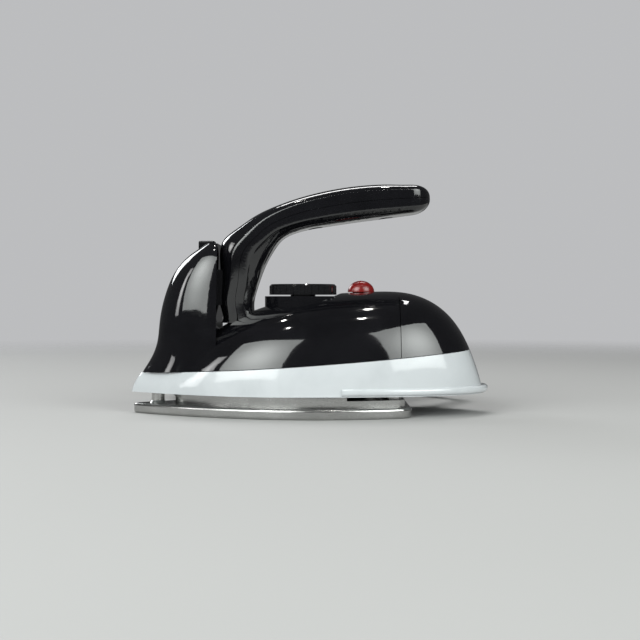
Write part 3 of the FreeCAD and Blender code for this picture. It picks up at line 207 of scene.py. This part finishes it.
# ---------------------------------------------------------------- metals
ALONG_SOLE = (1.0, 20.0, 20.0)   # polishing lines run from nose to heel
ALONG_STRIP = (1.0, 12.0, 12.0)
ACROSS_SHEET = (10.0, 1.0, 10.0)
dress(metal("sole_metal", (0.42, 0.42, 0.41), (0.52, 0.52, 0.51), 0.2, ALONG_SOLE, 160.0, 0.006),
      "soleplate")
dress(metal("sheath_metal", (0.36, 0.34, 0.32), (0.48, 0.46, 0.44), 0.4), "heating_element")
dress(metal("plain_steel", (0.45, 0.45, 0.45), (0.62, 0.62, 0.62), 0.3), "heater_pins", "fuse_lead_rear",
      "fuse_lead_front", "body_screws", "handle_screws", "clamp_screws", "terminal_screws", "stack_rivet",
      "thermostat_yoke", "stack_foot", "adjusting_spindle", "foot_screw")
dress(metal("spring_strip", (0.50, 0.44, 0.32), (0.64, 0.58, 0.45), 0.28, ALONG_STRIP),
      "upper_blade", "upper_blade_root", "lower_blade", "bimetal_strip", "bimetal_root")
dress(metal("contact_silver", (0.75, 0.75, 0.74), (0.88, 0.88, 0.86), 0.2),
      "lower_contact", "upper_contact")
dress(metal("brass", (0.55, 0.38, 0.14), (0.75, 0.56, 0.26), 0.25), "spindle_nut", "plug_blades")
dress(metal("sheet_metal", (0.60, 0.61, 0.62), (0.74, 0.75, 0.76), 0.32, ACROSS_SHEET),
      "heat_shield", "thermal_fuse")

# ---------------------------------------------------------------- insulation, wires and cord
dress(matte("ceramic", (0.70, 0.68, 0.62), (0.80, 0.78, 0.72), 0.6),
      "lower_insulator", "middle_insulator", "upper_insulator", "push_bead")
dress(matte("fibre_sleeve", (0.60, 0.56, 0.44), (0.72, 0.68, 0.56), 0.7, 900.0, 0.08),
      "bulb_sleeve", "fuse_sleeve")
dress(matte("block_plastic", (0.70, 0.68, 0.60), (0.80, 0.78, 0.71), 0.5),
      "terminal_block", "clamp_base", "cord_clamp")
dress(matte("wire_red", (0.32, 0.05, 0.03), (0.44, 0.08, 0.05), 0.45), "live_wire")
dress(matte("wire_blue", (0.04, 0.10, 0.32), (0.07, 0.15, 0.42), 0.45), "neutral_wire")
dress(matte("wire_green", (0.05, 0.28, 0.06), (0.10, 0.38, 0.10), 0.45), "earth_wire")
dress(matte("core_grey", (0.25, 0.25, 0.25), (0.35, 0.35, 0.35), 0.45), "cord_cores")
dress(matte("cord_rubber", (0.012, 0.012, 0.012), (0.022, 0.022, 0.023), 0.42, 700.0, 0.02),
      "mains_cord", "cord_boot", "plug_body")
dress(matte("tie_weave", (0.015, 0.015, 0.016), (0.035, 0.035, 0.036), 0.8, 1200.0, 0.1), "cord_tie")

for node in nodes.values():
    node.data.shade_smooth()
    node.data.set_sharp_from_angle(angle=SHARP_EDGE)


# ---------------------------------------------------------------- studio
def area_light(name, place, size, power, tint=(1.0, 1.0, 1.0)):
    """A rectangular lamp that faces the middle of the body; power is in watts."""
    lamp = bpy.data.lights.new(name, "AREA")
    lamp.shape = "RECTANGLE"
    lamp.size, lamp.size_y = size
    lamp.energy = power
    lamp.color = tint
    holder = bpy.data.objects.new(name, lamp)
    holder.location = place
    holder.rotation_euler = (MIDDLE - Vector(place)).to_track_quat("-Z", "Y").to_euler()
    bpy.context.scene.collection.objects.link(holder)
    return holder


def make_stage():
    """A pale round floor that fades into the pale backdrop far from the object."""
    mesh = bpy.data.meshes.new("stage_floor")
    work = bmesh.new()
    bmesh.ops.create_circle(work, cap_ends=True, segments=96, radius=3.0)
    work.to_mesh(mesh)
    work.free()
    floor = bpy.data.objects.new("stage_floor", mesh)
    bpy.context.scene.collection.objects.link(floor)
    g = Graph("stage_paper")
    tone = g.noise(3.0, 3.0)
    g.set(Base_Color=g.mix(tone, (0.38, 0.38, 0.375), (0.41, 0.41, 0.405)), Roughness=0.75)
    g.bump(g.noise(90.0, 3.0), 0.1)
    distance = g.tree.nodes.new("ShaderNodeVectorMath")
    distance.operation = "LENGTH"
    g.link(g.place, distance.inputs[0])
    far = g.tree.nodes.new("ShaderNodeBsdfTransparent")
    fade = g.tree.nodes.new("ShaderNodeMixShader")
    g.link(g.band(distance.outputs["Value"], 0.38, 0.95), fade.inputs["Fac"])
    g.link(g.shader.outputs["BSDF"], fade.inputs[1])
    g.link(far.outputs["BSDF"], fade.inputs[2])
    g.link(fade.outputs["Shader"], g.output.inputs["Surface"])
    mesh.materials.append(g.material)


def make_backdrop():
    """A pale grey surround for the camera, dark for reflections so that black plastic stays black."""
    world = bpy.data.worlds.new("studio")
    world.use_nodes = True
    tree = world.node_tree
    surround = tree.nodes["Background"]
    surround.inputs["Color"].default_value = (0.97, 0.98, 1.0, 1.0)
    path = tree.nodes.new("ShaderNodeLightPath")
    strength = tree.nodes.new("ShaderNodeMapRange")
    strength.inputs["To Min"].default_value = 0.06
    strength.inputs["To Max"].default_value = 0.52
    tree.links.new(path.outputs["Is Camera Ray"], strength.inputs["Value"])
    tree.links.new(strength.outputs["Result"], surround.inputs["Strength"])
    bpy.context.scene.world = world


def soften(holder):
    """Makes an area light bright at its middle and dim at its edges, for a soft-edged reflection."""
    holder.data.use_nodes = True
    tree = holder.data.node_tree
    across = tree.nodes.new("ShaderNodeNewGeometry").outputs["Parametric"]
    centred = tree.nodes.new("ShaderNodeVectorMath")
    centred.operation = "DISTANCE"
    centred.inputs[1].default_value = (0.5, 0.5, 0.0)
    tree.links.new(across, centred.inputs[0])
    level = tree.nodes.new("ShaderNodeMapRange")
    level.interpolation_type = "SMOOTHSTEP"
    level.inputs["From Max"].default_value = 0.58
    level.inputs["To Min"].default_value = 1.4
    level.inputs["To Max"].default_value = 0.6
    tree.links.new(centred.outputs["Value"], level.inputs["Value"])
    tree.links.new(level.outputs["Result"], tree.nodes["Emission"].inputs["Strength"])


def polar_place(turn, lift, reach):
    """A place round the object: turn degrees from the camera's side towards the heel, lift degrees up."""
    turn, lift = math.radians(turn), math.radians(lift)
    flat = math.cos(lift)
    direction = Vector((flat * math.sin(turn), -flat * math.cos(turn), math.sin(lift)))
    return MIDDLE + reach * direction


def make_lights():
    """Two tall boxes and a narrow one beside the camera, one overhead, one behind, four ceiling lamps."""
    cool = (0.96, 1.0, 0.98)
    left = area_light("left_box", polar_place(-36, 30, 0.95), (0.72, 0.74), 8.5, cool)
    right = area_light("right_box", polar_place(44, 30, 0.95), (0.66, 0.70), 7.0, cool)
    neck = area_light("neck_box", polar_place(-68, 20, 0.9), (0.12, 0.45), 0.8)
    for box in (left, right, neck):
        soften(box)
    area_light("top_box", (0.0, 0.35, 0.95), (0.7, 0.22), 5.0)
    area_light("back_box", (-0.7, 0.75, 0.55), (0.5, 0.4), 4.0, (0.95, 0.98, 1.0))
    ceiling_height = 1.15
    lamp_size = (0.035, 0.035)
    for x, y in ((-0.30, 0.02), (-0.27, -0.36), (0.12, 0.02), (0.14, -0.36)):
        area_light("ceiling_lamp", (x, y, ceiling_height), lamp_size, 0.35, (1.0, 0.98, 0.94))


def make_camera():
    """The camera looks at the side of the iron from table height, level with the housing's crown."""
    lens = bpy.data.cameras.new("camera")
    lens.sensor_width = 36.0
    lens.lens = 67.5
    lens.clip_start = 0.02
    holder = bpy.data.objects.new("camera", lens)
    holder.location = CAMERA_PLACE
    holder.rotation_euler = (math.radians(90) - CAMERA_DIP, 0.0, 0.0)
    bpy.context.scene.collection.objects.link(holder)
    bpy.context.scene.camera = holder


make_stage()
make_backdrop()
make_lights()
make_camera()
bpy.context.scene.view_settings.view_transform = "Standard"
